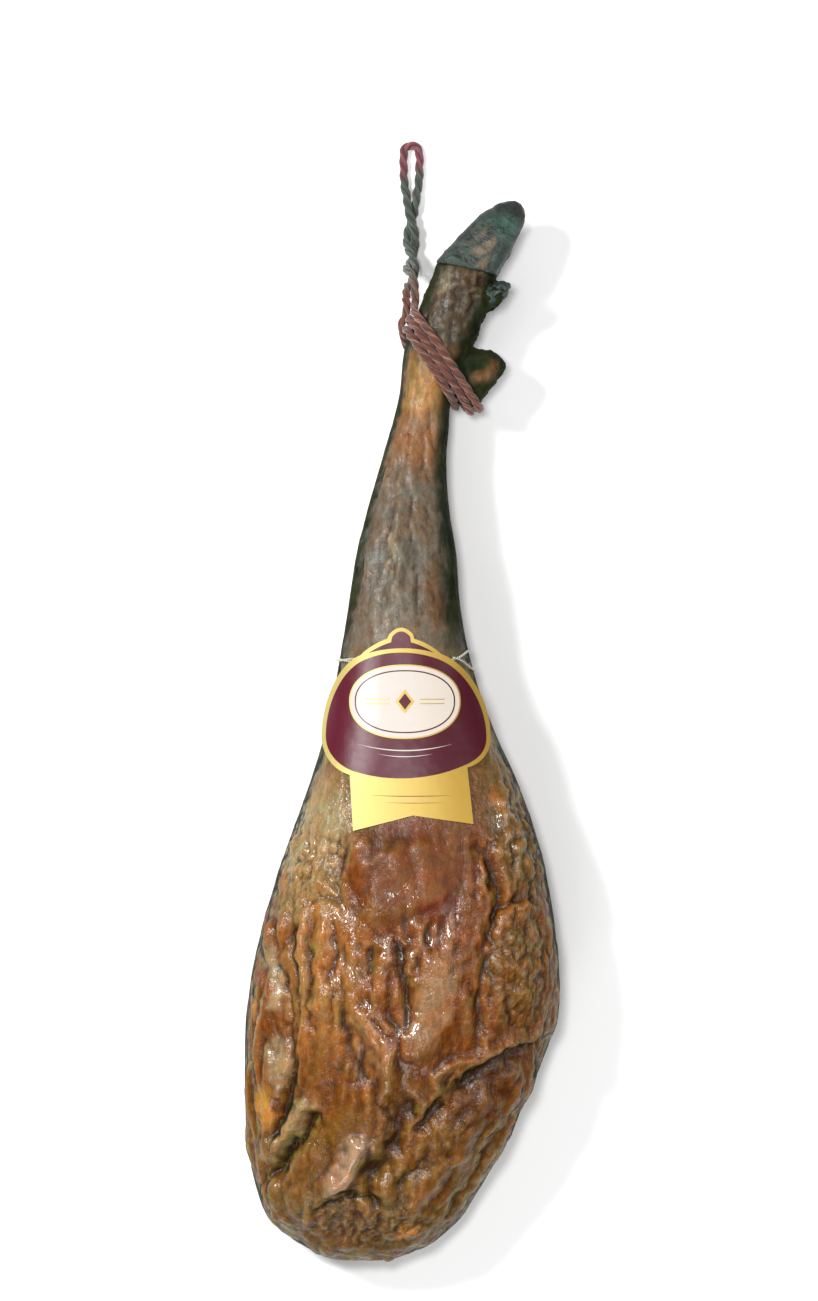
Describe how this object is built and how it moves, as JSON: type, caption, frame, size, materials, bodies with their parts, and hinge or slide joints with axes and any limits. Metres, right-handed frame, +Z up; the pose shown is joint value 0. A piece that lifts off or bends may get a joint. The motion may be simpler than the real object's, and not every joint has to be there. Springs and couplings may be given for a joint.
{
  "type": "cured ham",
  "caption": "Whole cured ham on the bone with trotter, tied round the ankle with rope and wearing a blank card label; lies flat on its rind.",
  "frame": {"origin": "middle of the ham's footprint, on the table it lies on; the loose doubled rope is not counted", "axes": "+Y from the butt towards the hoof, +Z up from the rind to the meat side, +X to the right as seen from above with the hoof away"},
  "size_m": [0.2367, 0.8468, 0.1241],
  "materials": {
    "meat": "waxy, greasy cured meat, fat and rind in browns, with green-grey edges",
    "horn": "dull dark grey-green horn",
    "rope": "laid rope, brick red at the ankle and grey-green further up",
    "card": "glossy printed card, maroon with gold edge and ribbon",
    "cord": "thin white elastic cord"
  },
  "bodies": {
    "root": {"ham_leg": "meat", "upper_claw": "horn", "lower_claw": "horn", "upper_dewclaw": "horn", "lower_dewclaw": "horn", "ankle_rope": "rope", "hanging_rope": "rope", "label_card": "card", "label_cord": "cord"}
  },
  "joints": []
}
